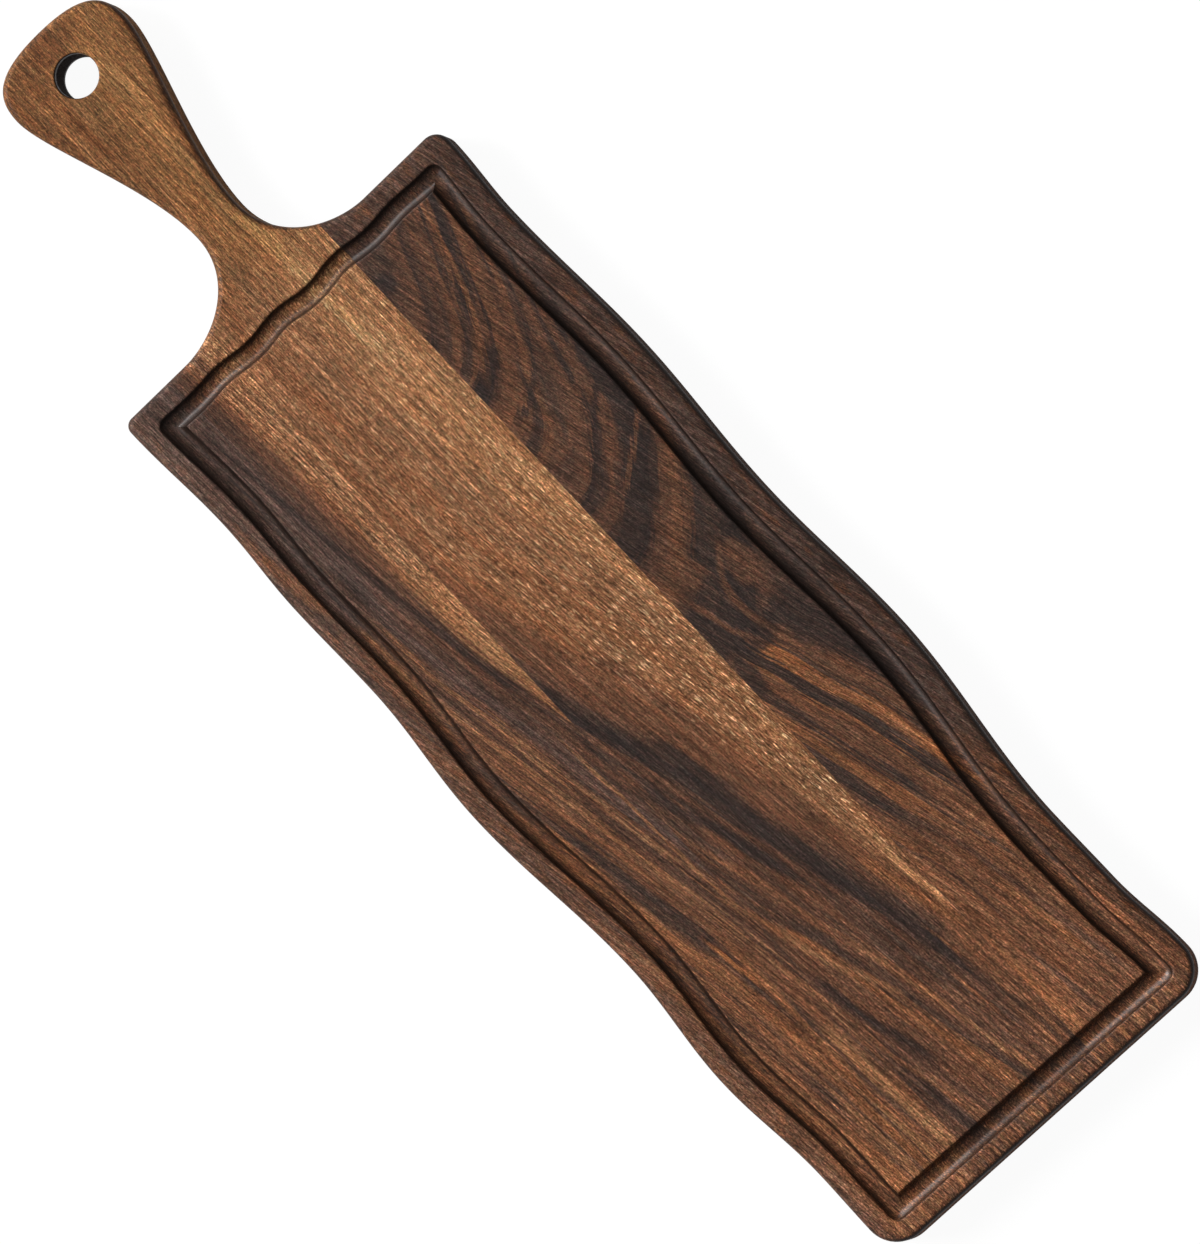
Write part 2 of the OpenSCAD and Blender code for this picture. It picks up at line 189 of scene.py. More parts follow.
class Template:
    """The board's template: its outline and the lines that are marked on it."""

    # Distance between two points on a long line
    STEP = 2 * MM
    # Reach of the control points of the handle's curves, as shares of their stretch
    SWEEP_FOOT, SWEEP_NECK = 0.4, 0.69
    FLANK_NECK, FLANK_FLARE = 0.33, 0.18
    END_SIDE, END_CROWN = 0.6, 0.84
    # How far the ripple's crest stands left of the stave's middle, as a share of its pitch
    CREST_SHIFT = 0.2

    def __init__(self, sizes):
        self.sizes = sizes
        low, high = cad_box
        self.top = high.z
        self.tip_y = high.y
        self.left_x, self.right_x = low.x, high.x
        self.joint_left = (LEFT_FILM_BOX[0].x, LEFT_FILM_BOX[1].x)
        self.joint_right = (RIGHT_FILM_BOX[0].x, RIGHT_FILM_BOX[1].x)
        self.shoulder_y = low.y + sizes.body_length
        self.middle_x = (sum(self.joint_left) + sum(self.joint_right)) / 4
        stave_width = (sum(self.joint_right) - sum(self.joint_left)) / 2
        self.flare_half = stave_width / 2 - sizes.handle_trim
        self.flare_y = self.tip_y - sizes.flare_drop
        self.neck_y = self.shoulder_y + sizes.neck_rise
        self.neck_x = self.handle_axis(self.neck_y)
        self.hole = Vector((0, self.tip_y - sizes.hole_drop))
        self.hole.x = self.handle_axis(self.hole.y)
        self.left_foot = self.shoulder_y + sizes.shoulder_step / 2
        self.right_foot = self.shoulder_y - sizes.shoulder_step / 2
        corner = sizes.end_corner
        self.left_run = (low.y + sizes.end_fall + corner, self.left_foot - sizes.left_shoulder)
        self.right_run = (low.y + corner, self.right_foot - sizes.right_shoulder)
        self.far_left = Vector((self.left_edge(self.left_run[0]) + corner, self.left_run[0]))
        self.far_right = Vector((self.right_edge(self.right_run[0]) - corner, self.right_run[0]))
        across = self.far_right - self.far_left
        self.far_turn = atan2(across.y, across.x) - pi / 2

    def handle_axis(self, y):
        slope = self.sizes.neck_lean / (self.flare_y - self.neck_y)
        return self.middle_x + slope * (self.flare_y - y)

    def left_edge(self, y):
        start, end = self.left_run
        return self.left_x + self.sizes.left_wave * wave(LEFT_EDGE, (y - start) / (end - start))

    def right_edge(self, y):
        start, end = self.right_run
        return self.right_x - self.sizes.right_wave * wave(RIGHT_EDGE, (y - start) / (end - start))

    def far_end(self, x):
        """Place on the straight far end, which is the common tangent of its corners."""
        share = (x - self.far_left.x) / (self.far_right.x - self.far_left.x)
        down = Vector((cos(self.far_turn), sin(self.far_turn)))
        return self.far_left.lerp(self.far_right, share) + self.sizes.end_corner * down

    def steps(self, start, end):
        """Heights between two places on a live edge, without its ends."""
        count = round(abs(end - start) / self.STEP)
        return [start + (end - start) * i / count for i in range(1, count)]

    def handle_side(self, side, foot_y):
        """One side of the handle, from its foot on the shoulder up to the tip."""
        foot = Vector((self.neck_x + side * self.sizes.shoulder_reach, foot_y))
        waist = Vector((self.neck_x + side * self.sizes.neck_width / 2, self.neck_y))
        widest = Vector((self.middle_x + side * self.flare_half, self.flare_y))
        tip = Vector((self.middle_x, self.tip_y))
        out, up = Vector((side, 0)), Vector((0, 1))
        span = abs(foot.x - waist.x)
        rise = self.flare_y - self.neck_y
        curves = (
            (foot, foot - out * span * self.SWEEP_FOOT,
             waist - up * (self.neck_y - foot_y) * self.SWEEP_NECK, waist),
            (waist, waist + up * rise * self.FLANK_NECK,
             widest - up * rise * self.FLANK_FLARE, widest),
            (widest, widest + up * self.sizes.flare_drop * self.END_SIDE,
             tip + out * self.flare_half * self.END_CROWN, tip),
        )
        points = [foot]
        for knots in curves:
            points += interpolate_bezier(*knots, HANDLE_STEPS)[1:]
        return points

    def outline(self):
        """The sawn outline, anticlockwise from the far end's right corner."""
        sizes = self.sizes
        left_top, right_top = self.left_run[1], self.right_run[1]
        left_centre = Vector((self.left_edge(left_top) + sizes.left_shoulder, left_top))
        right_centre = Vector((self.right_edge(right_top) - sizes.right_shoulder, right_top))
        right = arc(self.far_right, sizes.end_corner, self.far_turn, 0)
        right += [Vector((self.right_edge(y), y)) for y in self.steps(*self.right_run)]
        right += arc(right_centre, sizes.right_shoulder, 0, pi / 2)
        right += self.handle_side(1, self.right_foot)
        left = self.handle_side(-1, self.left_foot)[-2::-1]
        left += arc(left_centre, sizes.left_shoulder, pi / 2, pi)
        left += [Vector((self.left_edge(y), y)) for y in self.steps(*self.left_run[::-1])]
        left += arc(self.far_left, sizes.end_corner, pi, 2 * pi + self.far_turn)
        return right + left

    def groove_section(self):
        """Half of the groove's section, from its lip down to its floor.

        Each point is its distance from the middle of the groove and its height.
        """
        sizes = self.sizes
        half, depth, lip = sizes.groove_width / 2, sizes.groove_depth, sizes.lip_round
        cutter = (half ** 2 + depth ** 2) / (2 * depth)
        centre = cutter - depth
        reach = ((cutter + lip) ** 2 - (centre + lip) ** 2) ** 0.5
        slope = asin(reach / (cutter + lip))
        turns = [slope * i / LIP_STEPS for i in range(LIP_STEPS + 1)]
        section = [(reach - lip * sin(a), lip * (cos(a) - 1)) for a in turns]
        turns = [slope * (1 - i / CUTTER_STEPS) for i in range(1, CUTTER_STEPS + 1)]
        return section + [(cutter * sin(a), centre - cutter * cos(a)) for a in turns]

    def groove_lip(self):
        """The groove's outer lip with square corners, and the places of its corners."""
        sizes = self.sizes
        reach = self.groove_section()[0][0]
        spread = reach - sizes.groove_width / 2
        inset = sizes.groove_inset - spread

        def left(y):
            return Vector((self.left_edge(y) + inset, y))

        def right(y):
            return Vector((self.right_edge(y) - inset, y))

        end = sizes.groove_end - spread
        corners = (
            right(self.far_end(self.right_x - inset).y + end),
            right(self.right_foot - inset),
            left(self.left_foot - inset),
            left(self.far_end(self.left_x + inset).y + end),
        )
        low_right, high_right, high_left, low_left = corners
        right_side = [right(y) for y in self.steps(low_right.y, high_right.y)]
        left_side = [left(y) for y in self.steps(high_left.y, low_left.y)]
        count = round((high_right.x - high_left.x) / self.STEP)
        crest_x = self.middle_x - sizes.ripple_pitch * self.CREST_SHIFT
        upper = []
        for i in range(1, count):
            place = high_right.lerp(high_left, i / count)
            turn = 2 * pi * (place.x - crest_x) / sizes.ripple_pitch
            ripple = sizes.ripple_height * sin(pi * i / count) * cos(turn)
            upper.append(place + Vector((0, ripple)))
        runs = ((low_right, right_side), (high_right, upper),
                (high_left, left_side), (low_left, []))
        clearance = 2 * reach + self.STEP
        points = []
        for corner, run in runs:
            clear = [p for p in run if min((p - c).length for c in corners) > clearance]
            points += [corner, *clear]
        return points, corners


def flat_face(bm, points, height):
    """A face whose corners are the points of a line, at one height."""
    return bm.faces.new([bm.verts.new((p.x, p.y, height)) for p in points])


def is_at(vert, height):
    return abs(vert.co.z - height) < SAME_PLACE


def rout_groove(bm, template):
    """Sinks the juice groove round the serving field with a round-nosed cutter."""
    points, corners = template.groove_lip()
    field = flat_face(bm, points, template.top)
    square = [v for v in field.verts if any((v.co.xy - c).length < SAME_PLACE for c in corners)]
    section = template.groove_section()
    bmesh.ops.bevel(bm, geom=square, offset=section[0][0], affect="VERTICES",
                    segments=GROOVE_CORNER_STEPS, profile=0.5, material=-1)
    section += [(-distance, height) for distance, height in section[-2::-1]]
    inner_wall = bm.verts.layers.float["inner_wall"]
    for (distance, height), (next_distance, next_height) in zip(section, section[1:]):
        field = max(bm.faces, key=lambda face: face.calc_area())
        bmesh.ops.inset_region(bm, faces=[field], thickness=distance - next_distance,
                               depth=next_height - height, use_boundary=True,
                               use_even_offset=True)
        if next_distance == 0:
            bmesh.ops.remove_doubles(bm, verts=field.verts[:], dist=CROWDED)
        elif next_distance < 0:
            for vert in field.verts:
                vert[inner_wall] = 1
    routed = bm.verts.layers.float["routed"]
    for vert in bm.verts:
        vert[routed] = 0 if is_at(vert, template.top) else 1


def saw_outline(bm, template):
    """Saws the blank to its outline and rounds over its upper and lower edges."""
    blank = flat_face(bm, template.outline(), 0)
    raised = bmesh.ops.extrude_face_region(bm, geom=[blank])["geom"]
    top = [v for v in raised if isinstance(v, bmesh.types.BMVert)]
    bmesh.ops.translate(bm, verts=top, vec=(0, 0, template.top))
    caps = [blank, next(f for f in raised if isinstance(f, bmesh.types.BMFace))]
    rims = [edge for cap in caps for edge in cap.edges]
    bmesh.ops.bevel(bm, geom=rims, offset=template.sizes.edge_round, affect="EDGES",
                    segments=ROUND_STEPS, profile=0.5, material=-1)
    flat = sorted(bm.faces, key=lambda face: face.calc_area())[-2:]
    bmesh.ops.delete(bm, geom=flat, context="FACES_ONLY")


def bore_hole(bm, template):
    """Bores the hang hole through the handle and eases its rims."""
    hole, ease = template.hole, template.sizes.hole_ease
    hole_radius = template.sizes.hole_width / 2
    turns = [pi / 2 * i / EASE_STEPS for i in range(EASE_STEPS + 1)]
    upper = [(ease * (1 - sin(a)), template.top - ease * (1 - cos(a))) for a in turns]
    lower = [(widening, template.top - height) for widening, height in upper[::-1]]
    above = []
    for widening, height in upper + lower:
        ring = bmesh.ops.create_circle(bm, segments=HOLE_STEPS, radius=hole_radius + widening,
                                       matrix=Matrix.Translation((*hole, height)))
        loop = list({edge for vert in ring["verts"] for edge in vert.link_edges})
        if above:
            bmesh.ops.bridge_loops(bm, edges=above + loop)
            loop = [edge for edge in loop if edge.is_valid]
        above = loop


def close_faces(bm, template):
    """Fills the upper and the lower face between the rims of the outline, groove and hole."""
    for height, normal in ((0, -1), (template.top, 1)):
        rims = [e for e in bm.edges if e.is_boundary and all(is_at(v, height) for v in e.verts)]
        bmesh.ops.triangle_fill(bm, edges=rims, use_beauty=True, normal=(0, 0, normal))
    bmesh.ops.recalc_face_normals(bm, faces=bm.faces[:])


def board_blank(template):
    """The whole board before it is parted into its staves."""
    bm = bmesh.new()
    bm.verts.layers.float.new("routed")
    bm.verts.layers.float.new("inner_wall")
    rout_groove(bm, template)
    saw_outline(bm, template)
    bore_hole(bm, template)
    close_faces(bm, template)
    return bm


def part_off(blank, left=None, right=None):
    """A copy of the blank between two planes across the board, with its sawn faces closed."""
    bm = blank.copy()
    for x, side in ((left, -1), (right, 1)):
        if x is None:
            continue
        cut = bmesh.ops.bisect_plane(bm, geom=[*bm.verts, *bm.edges, *bm.faces], dist=1e-7,
                                     plane_co=(x, 0, 0), plane_no=(side, 0, 0), clear_outer=True)
        rim = [part for part in cut["geom_cut"] if isinstance(part, bmesh.types.BMEdge)]
        bmesh.ops.triangle_fill(bm, edges=rim, use_beauty=True, normal=(side, 0, 0))
    bmesh.ops.recalc_face_normals(bm, faces=bm.faces[:])
    return bm


def add_piece(bm, name, node, material):
    """Makes the finished mesh an object that stands for its node in the frame."""
    if not all(edge.is_manifold for edge in bm.edges):
        raise RuntimeError(f"The mesh of {name} isn't closed")
    for face in bm.faces:
        face.smooth = True
    for edge in bm.edges:
        edge.smooth = edge.calc_face_angle(0) < SHARP
    mesh = bpy.data.meshes.new(name)
    bm.to_mesh(mesh)
    bm.free()
    piece = bpy.data.objects.new(name, mesh)
    bpy.context.collection.objects.link(piece)
    piece.data.materials.append(material)
    normals = piece.modifiers.new("Even shading", "WEIGHTED_NORMAL")
    normals.keep_sharp = True
    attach(piece, "root")
    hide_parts(node)


class Socket:
    """An output of a shader node; arithmetic on it adds Math nodes."""

    def __init__(self, finish, output):
        self.finish = finish
        self.output = output

    def maths(self, operation, *others):
        return self.finish.maths(operation, self, *others)

    def __add__(self, other):
        return self.maths("ADD", other)

    def __sub__(self, other):
        return self.maths("SUBTRACT", other)

    def __rsub__(self, other):
        return self.finish.maths("SUBTRACT", other, self)

    def __mul__(self, other):
        return self.maths("MULTIPLY", other)

    def __truediv__(self, other):
        return self.maths("DIVIDE", other)

    def __neg__(self):
        return self * -1

    def __abs__(self):
        return self.maths("ABSOLUTE")

    __radd__ = __add__
    __rmul__ = __mul__


class Finish:
    """The shader of a new material or world, made up node by node."""

    def __init__(self, owner):
        self.owner = owner
        owner.use_nodes = True
        self.tree = owner.node_tree
        self.tree.nodes.clear()

    def node(self, kind, settings=None, inputs=None, output=0):
        node = self.tree.nodes.new(kind)
        for key, value in (settings or {}).items():
            if key == "stops":
                fill_ramp(node.color_ramp, value)
            elif key == "points":
                fill_curve(node.mapping, value)
            else:
                setattr(node, key, value)
        for key, value in (inputs or {}).items():
            if isinstance(value, Socket):
                self.tree.links.new(value.output, node.inputs[key])
            else:
                node.inputs[key].default_value = value
        return Socket(self, node.outputs[output]) if node.outputs else None

    def maths(self, operation, *values):
        return self.node("ShaderNodeMath", {"operation": operation}, dict(enumerate(values)))

    def vector(self, x, y, z):
        return self.node("ShaderNodeCombineXYZ", None, {0: x, 1: y, 2: z})

    def smooth(self, value, start, end):
        """0 before start and 1 past end, with a smooth step between them."""
        return self.node("ShaderNodeMapRange", {"interpolation_type": "SMOOTHSTEP"},
                         {"Value": value, "From Min": start, "From Max": end})

    def mix(self, share, a, b, blend="MIX"):
        """Two colours mixed by a share of the second."""
        settings = {"data_type": "RGBA", "blend_type": blend, "clamp_factor": True}
        return self.node("ShaderNodeMix", settings, {0: share, 6: opaque(a), 7: opaque(b)}, 2)

    def scaled(self, tone, level):
        return self.node("ShaderNodeVectorMath", {"operation": "SCALE"}, {0: tone, "Scale": level})

    def curve(self, value, points):
        """A curve drawn through points that are given as (value, result)."""
        points = sorted(points)
        first, last = points[0][0], points[-1][0]
        results = [result for _, result in points]
        low, high = min(results), max(max(results), min(results) + 1e-6)
        share = (value - first) / (last - first)
        drawn = [((v - first) / (last - first), (r - low) / (high - low)) for v, r in points]
        return self.node("ShaderNodeFloatCurve", {"points": drawn}, {1: share}) * (high - low) + low

    def ramp(self, value, stops):
        """Colours laid out along a value, given as (value, colour)."""
        stops = sorted(stops)
        first, last = stops[0][0], stops[-1][0]
        placed = [((v - first) / (last - first), tone) for v, tone in stops]
        share = (value - first) / (last - first)
        return self.node("ShaderNodeValToRGB", {"stops": placed}, {0: share})

    def grain(self, across, along, depth, width, stretch, detail=2.0, seed=0.0):
        """Noise whose cells have a width across the grain and a stretch along it, in mm."""
        place = self.vector(across / width + seed, along / stretch + seed, depth / width - seed)
        inputs = {"Vector": place, "Scale": 1.0, "Detail": detail}
        return self.node("ShaderNodeTexNoise", {"noise_dimensions": "3D"}, inputs)


def opaque(tone):
    return tone if isinstance(tone, Socket) else (*tone, 1)


def fill_ramp(ramp, stops):
    """Sets a colour ramp's stops, given as (position, colour)."""
    while len(ramp.elements) > 1:
        ramp.elements.remove(ramp.elements[-1])
    for index, (position, tone) in enumerate(stops):
        element = ramp.elements[0] if index == 0 else ramp.elements.new(position)
        element.position = position
        element.color = (*tone, 1)


def fill_curve(mapping, points):
    """Sets a curve's points, given as (position, value) from 0 to 1."""
    curve = mapping.curves[0]
    while len(curve.points) > 2:
        curve.points.remove(curve.points[1])
    curve.points[0].location = points[0]
    curve.points[-1].location = points[-1]
    for place in points[1:-1]:
        curve.points.new(*place)
    for point in curve.points:
        point.handle_type = "AUTO_CLAMPED"
    mapping.update()


# How the grain drifts across each stave on its way down the board: (along, drift) in mm
LEFT_FLOW = ((125, -8.5), (80, -6), (60, -5), (40, -4), (0, 0), (-30, 5.5), (-60, 11), (-110, 20),
             (-160, 28), (-200, 33), (-240, 37))
MIDDLE_FLOW = ((140, -9), (100, -7), (60, -4), (20, 1), (0, 6), (-40, 17), (-75, 28),
               (-95, 33.5), (-110, 37), (-170, 53), (-200, 60), (-240, 70))
RIGHT_FLOW = ((-60, -3), (-73, 0), (-80, 2.6), (-90, 5.6), (-100, 8.6), (-110, 11.6), (-120, 14),
              (-130, 16.5), (-140, 19), (-156, 23), (-189, 30), (-222, 35.5), (-240, 38))
# Rise of the right stave's arched figure from its joint outwards: (across, rise) in mm
ARCH_RISE = ((23, 0), (30, 2), (35, 6), (40, 13), (45, 17.5), (50, 24), (55, 30), (58, 35),
             (76, 62))

# How thickly the golden wood is flecked on its way down the board: (along, share)
FLECKED = ((240, 0.1), (150, 0.2), (125, 0.45), (90, 0.55), (40, 0.65), (-20, 0.85), (-60, 1.2),
           (-110, 1.2), (-180, 0.9), (-240, 0.5))

# Where one look passes into another: (start, end) along the board, in mm
LEFT_FIGURES_MEET = (5, 45)
GOLDEN_STRIP = (-40, 20)
ARCHES_START = (-74, -62)
ARCHES_STEEPEN = (8, 62)
CALM_FAR_PART = (-138, -168)
RIM_TINTS_MEET = (-170, -120)
FAR_RIM = (-246, -243)
UPPER_RIM = (118, 126)
NECK = (118, 160)
HANDLE = (136, 150)
COARSER = (-200, -120)
PALER = (-185, -235)
# The same across the board
LEFT_RIM = (-69, -63)
RIGHT_RIM = (60, 67)
RIGHT_RIM_TINT = (58, 68)
# The same down from the upper face
SIDE_TOP = (2.0, 3.2)
SIDE_FOOT = (13.0, 14.5)
SUNK = (0.2, 2.2)
LIP = (0.05, 0.6)
TINTED_EDGE = (2.5, 4.5)
# The same outwards from the middle of the hang hole
HOLE_WALL = (10, 13)
# The same over how far a face points up: 0 for a wall, 1 for a level face
STEEP = (0.6, 0.97)
STEEPER = (0.45, 0.85)
ROUNDED = (0.72, 0.985)
WALL = (0.35, 0.65)
SHEEN = (0.5, 0.7)

# Cells of the fine grain: width and length in mm, detail, and their own step of the seed
FINE_GRAIN = (
    (1.3, 48, 3, 0),  # streaks
    (0.55, 15, 2, 3),  # lines
    (0.42, 2.8, 1, 7),  # dashes
    (0.42, 0.8, 1, 9),  # specks
    (0.4, 3.4, 0, 11),  # pores
    (0.6, 4.2, 0, 17),  # light flecks
    (2.2, 26, 3, 23),  # drifts of hue
    (0.9, 2.2, 1, 29),  # mottle
)
# Tints that a tone is multiplied by
COOL, WARM = (0.95, 1.01, 1.0), (1.07, 0.99, 0.9)
GREENER, REDDER = (0.95, 1.02, 0.98), (1.07, 0.965, 1.0)
BLEACHED = (0.98, 1.25, 1.4)
HANDLE_TINT = (0.76, 0.73, 0.6)
FAR_RIM_TINT, NEAR_RIM_TINT = (0.95, 0.79, 0.62), (0.7, 0.7, 0.72)

# The figure's tones across its flow, in mm
LEFT_UPPER_TONES = (
    (-78, "ash"), (-62, "plum"), (-56, "mauve"), (-51, "umber"), (-47.5, "mauve"), (-44, "mauve"),
    (-41, "bark"), (-37.5, "cocoa"), (-35.2, "chestnut"), (-33.6, "russet"), (-32, "tan"),
    (-29, "tan"), (-26, "tan"), (-22, "honey"))
LEFT_LOWER_TONES = (
    (-118, "chestnut"), (-112, "rust"), (-107, "cocoa"), (-103, "russet"), (-96, "chestnut"),
    (-92, "russet"), (-88, "rust"), (-86, "chestnut"), (-84.5, "umber"), (-83, "rust"),
    (-81.2, "rust"), (-80, "bark"), (-78.8, "rust"), (-75, "russet"), (-72.5, "chestnut"),
    (-69.5, "umber"), (-67.5, "cocoa"), (-65, "rust"), (-62.5, "cocoa"), (-60, "tan"),
    (-59, "cocoa"), (-56.5, "bark"), (-54.8, "cocoa"), (-53.8, "tan"), (-52.8, "cocoa"),
    (-49, "mauve"), (-45, "bark"), (-42, "cocoa"), (-40.4, "coal"), (-38.4, "cocoa"),
    (-35, "honey"), (-31, "gold"))
MIDDLE_TONES = (
    (-100, "bark"), (-95, "cocoa"), (-91, "umber"), (-87, "rust"), (-83, "bark"), (-79, "chestnut"),
    (-75, "cocoa"), (-71, "russet"), (-67, "umber"), (-64, "cocoa"), (-61.5, "rust"),
    (-59, "bark"), (-56, "chestnut"), (-53, "umber"), (-50, "cocoa"), (-47.5, "coal"),
    (-45, "umber"), (-42, "umber"), (-39, "cocoa"), (-36, "chestnut"), (-32, "chestnut"),
    (-28, "rust"), (-24, "russet"), (-18, "tan"), (-12, "russet"), (-6, "tan"), (2, "tan"),
    (8, "honey"), (13, "honey"), (18, "gold"), (24, "honey"))
RIGHT_LOWER_TONES = (
    (-18, "rust"), (-12, "chestnut"), (-6, "rust"), (-1, "russet"), (4, "rust"),
    (7, "chestnut"), (9, "umber"), (11, "coal"), (12.8, "umber"), (14.2, "rust"),
    (17, "russet"), (18.8, "chestnut"), (20.3, "umber"), (21.8, "coal"), (23.4, "cocoa"),
    (25.2, "chestnut"), (27.4, "cocoa"), (28.5, "russet"), (29.4, "umber"), (31.5, "coal"),
    (33.4, "umber"), (34.6, "russet"), (36, "ember"), (37.6, "russet"), (39, "cocoa"),
    (40.2, "umber"), (42.5, "chestnut"), (45.5, "cocoa"), (48, "coal"), (52, "ink"),
    (56, "coal"), (66, "bark"))
RIGHT_FAR_TONES = (
    (-18, "russet"), (-12, "rust"), (-8, "chestnut"), (-3, "rust"), (1, "chestnut"), (4, "rust"),
    (8, "chestnut"), (12, "rust"), (16, "chestnut"), (20, "rust"), (26, "rust"), (32, "cocoa"),
    (66, "bark"))
ARCH_TONES = (
    (-104, "coal"), (-92, "umber"), (-82, "bark"), (-76, "coal"), (-68, "ink"), (-61, "coal"),
    (-55, "umber"), (-47, "coal"), (-38, "chestnut"), (-30, "cocoa"), (-21, "ink"), (-11, "coal"),
    (-4, "cocoa"), (2, "coal"), (8, "cocoa"), (15, "bark"), (20, "umber"), (26, "chestnut"),
    (31, "coal"), (35, "cocoa"), (43, "chestnut"), (48, "cocoa"), (53, "coal"), (58, "ink"),
    (62, "chestnut"), (66, "coal"), (70, "cocoa"), (75, "bark"), (80, "coal"), (85, "cocoa"),
    (104, "umber"), (124, "bark"))
RIM_TONES = (
    (0.2, "coal"), (0.38, "bark"), (0.5, "plum"), (0.62, "cocoa"), (0.8, "russet"))
END_TONES = (
    (0.3, "umber"), (0.42, "cocoa"), (0.52, "chestnut"), (0.64, "tan"), (0.8, "honey"))

# Single streaks of a stave's figure: tone, half width, and its line as (along, across) in mm
LEFT_STREAKS = (
    ("coal", 1.5, ((112, -54.5), (94, -52.5), (69, -50), (40, -46), (20, -43), (5, -41), (-8, -39),
                   (-22, -36.5))),
    ("tan", 1.6, ((110, -33), (60, -32.5), (20, -32), (0, -31.5))),
    ("cocoa", 2.4, ((122, -39.5), (136, -39.5))),
    ("tan", 0.7, ((-36, -49), (-48, -47.5), (-62, -45.5))),
    ("tan", 0.8, ((-50, -36), (-75, -34), (-100, -33), (-125, -31))),
    ("coal", 1.4, ((-75, -56), (-95, -53), (-112, -49), (-130, -46), (-146, -44))),
    ("umber", 3.0, ((-96, -54), (-108, -52), (-122, -49.5), (-134, -47.5))),
    ("ember", 1.0, ((-134, -46), (-142, -44.7), (-152, -43))),
    ("russet", 1.6, ((-140, -41.5), (-160, -41), (-185, -40.5), (-200, -40))),
    ("honey", 2.6, ((-182, -37), (-200, -35.5), (-220, -33.5), (-240, -32))),
    ("russet", 2.4, ((-222, -54), (-230, -53), (-240, -52))),
    ("russet", 3.0, ((-205, -46), (-222, -44.5), (-240, -43))),
    ("honey", 1.6, ((-212, -42), (-226, -40.5), (-240, -39.5))),
    ("tan", 2.2, ((-206, -49), (-224, -48), (-240, -47))),
    ("bark", 0.6, ((-165, -39.5), (-190, -38.5), (-215, -37.5))),
    ("bark", 0.6, ((-175, -33), (-190, -32), (-202, -31))),
    ("bark", 0.6, ((-190, -48.5), (-215, -46.5), (-238, -45))),
    ("bark", 0.6, ((-196, -43.5), (-215, -42), (-238, -41))),
    ("russet", 2.8, ((78, -70.5), (66, -69), (52, -67), (40, -66))),
    ("umber", 1.4, ((66, -73.5), (50, -70), (34, -66.5))),
    ("russet", 1.6, ((24, -59.5), (8, -58.5), (-6, -58.5))),
    ("russet", 1.4, ((-68, -59.5), (-90, -58.5), (-110, -57.5))),
    ("tan", 0.8, ((-98, -70.5), (-112, -68), (-126, -66))),
)
MIDDLE_STREAKS = (
    ("ink", 2.6, ((-30, -29.5), (-45, -27.5), (-56, -23.5), (-66, -19.5), (-78, -16), (-89, -11.5),
                  (-106, -7.5), (-123, -4), (-139, -1), (-152, 2))),
    ("ink", 2.4, ((-78, -25.5), (-89, -24), (-98, -21), (-106, -17.5), (-120, -13), (-132, -10))),
    ("coal", 2.4, ((-72, -12), (-84, -9.5), (-98, -6))),
    ("ink", 1.8, ((-152, 3), (-164, 6), (-176, 9), (-186, 12), (-197, 15.5))),
    ("rust", 5.0, ((-186, 18), (-205, 19), (-238, 18))),
    ("russet", 2.4, ((-150, 12), (-162, 15), (-174, 18.5), (-186, 22))),
    ("tan", 5.0, ((-84, 12), (-100, 13.5), (-120, 15.5), (-140, 18), (-158, 20.5))),
    ("gold", 1.6, ((-138, 19.5), (-156, 19.8), (-174, 21.8))),
    ("bark", 1.0, ((-200, 14), (-212, 16), (-226, 18.5), (-240, 19))),
    ("umber", 1.8, ((-92, -28.5), (-104, -25), (-116, -21.5))),
    ("umber", 2.0, ((-124, -30), (-138, -25.5), (-148, -21), (-158, -15.5))),
    ("chestnut", 3.0, ((-36, -8), (-50, -4), (-64, -1), (-80, 3))),
    ("russet", 3.5, ((244, -16), (225, -15.5), (205, -13))),
    ("honey", 1.8, ((-58, 19.5), (-85, 19.5), (-112, 20.5))),
    ("ink", 2.0, ((-165, -28), (-185, -24.5), (-200, -20), (-212, -17))),
    ("coal", 2.6, ((-196, -27), (-212, -24.8), (-238, -22.4))),
    ("rust", 1.0, ((-185, -28.5), (-200, -26.5), (-215, -23.5), (-229, -20))),
    ("tan", 1.4, ((-152, -24.5), (-165, -20), (-174, -16), (-184, -11.5))),
    ("bark", 3.0, ((-150, -5), (-165, -3.5), (-182, -1.5))),
    ("tan", 0.8, ((-170, -9.5), (-183, -6), (-195, -3), (-207, -0.5), (-217, 1.5), (-230, 4.2),
                  (-239, 6))),
    ("bark", 0.8, ((-178, -4), (-200, 0), (-215, 3), (-234, 7))),
    ("rust", 0.8, ((-196, 7.5), (-205, 8.5), (-214, 10))),
    ("rust", 0.7, ((-182, 12.2), (-193, 14.6))),
    ("gold", 3.4, ((236, 8), (215, 7), (200, 5), (185, 3.5), (165, 3.5), (150, 7), (135, 8),
                   (120, 9), (90, 12), (70, 14))),
    ("straw", 2.4, ((158, 6), (146, 6.5), (132, 7), (112, 7.5), (94, 9))),
    ("gold", 1.8, ((120, 17), (86, 17.5))),
    ("rust", 1.6, ((245, 24), (225, 20.5), (205, 13.5), (190, 9.5), (170, 6.5), (155, 8),
                   (146, 12))),
)
